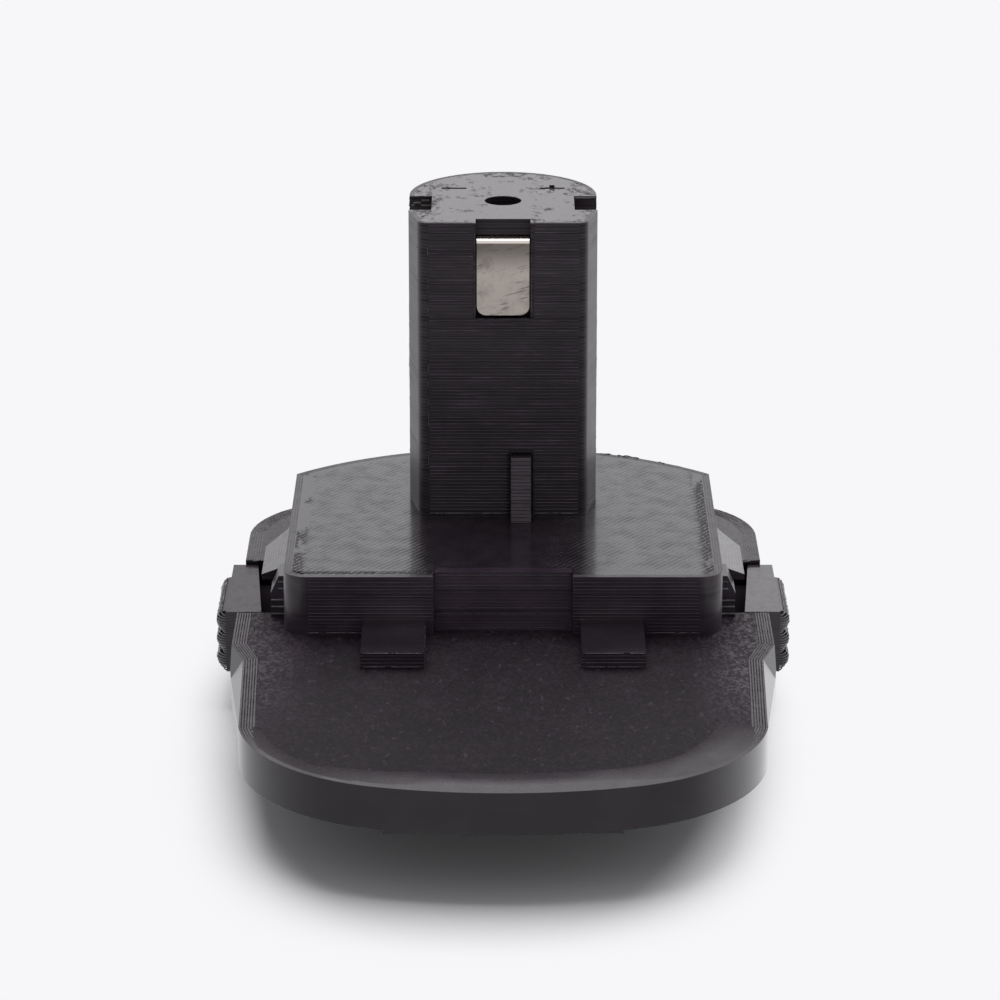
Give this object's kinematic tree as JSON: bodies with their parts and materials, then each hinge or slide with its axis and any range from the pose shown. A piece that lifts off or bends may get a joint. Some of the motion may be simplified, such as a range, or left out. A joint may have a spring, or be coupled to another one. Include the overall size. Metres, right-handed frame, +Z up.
{
  "type": "tool battery adapter",
  "caption": "Printed adapter with a keyed contact stem and sprung side latches above, and a slide-rail receiver with terminal blades below.",
  "frame": {"origin": "on the resting plane under the middle of the outline", "axes": "+Z up along the stem, +Y to the rear, +X to the right seen from the front contact"},
  "size_m": [0.0982, 0.1474, 0.0818],
  "materials": {
    "charcoal_print": "printed in layers",
    "latch_print": "printed in layers",
    "terminal_plastic": "moulded",
    "nickel_strip": "nickel-plated strip",
    "blade_metal": "tin-plated copper",
    "spring_steel": "drawn wire",
    "screw_steel": "black oxide",
    "insert_brass": "turned",
    "wire_black": "silicone insulation",
    "wire_red": "silicone insulation",
    "wire_yellow": "silicone insulation"
  },
  "bodies": {
    "adapter": {"base_plate": "charcoal_print", "shoulder_block": "charcoal_print", "front_panel": "charcoal_print", "stem_shell": "charcoal_print", "rail_left": "charcoal_print", "rail_right": "charcoal_print", "rear_stop": "charcoal_print", "spring_anchor": "charcoal_print", "terminal_block": "terminal_plastic", "contact_front": "nickel_strip", "contact_left": "nickel_strip", "contact_right": "nickel_strip", "blade_negative": "blade_metal", "blade_sense": "blade_metal", "blade_positive": "blade_metal", "latch_spring_left": "spring_steel", "latch_spring_right": "spring_steel", "stem_screw": "screw_steel", "housing_screws": "screw_steel", "anchor_screw": "screw_steel", "rail_screws": "screw_steel", "rear_stop_screws": "screw_steel", "terminal_screws": "screw_steel", "plate_inserts": "insert_brass", "housing_inserts": "insert_brass", "wire_negative": "wire_black", "wire_positive": "wire_red", "wire_sense": "wire_yellow"},
    "left_latch": {"latch_left": "latch_print"},
    "right_latch": {"latch_right": "latch_print"}
  },
  "joints": [
    {"name": "left_latch_slide", "type": "slide", "parent": "adapter", "child": "left_latch", "axis": [1, 0, 0], "range_m": [0, 0.004], "stiffness_N_per_m": 1500, "springref_m": -0.003, "deforming": ["latch_spring_left"]},
    {"name": "right_latch_slide", "type": "slide", "parent": "adapter", "child": "right_latch", "axis": [-1, 0, 0], "range_m": [0, 0.004], "stiffness_N_per_m": 1500, "springref_m": -0.003, "deforming": ["latch_spring_right"]}
  ]
}
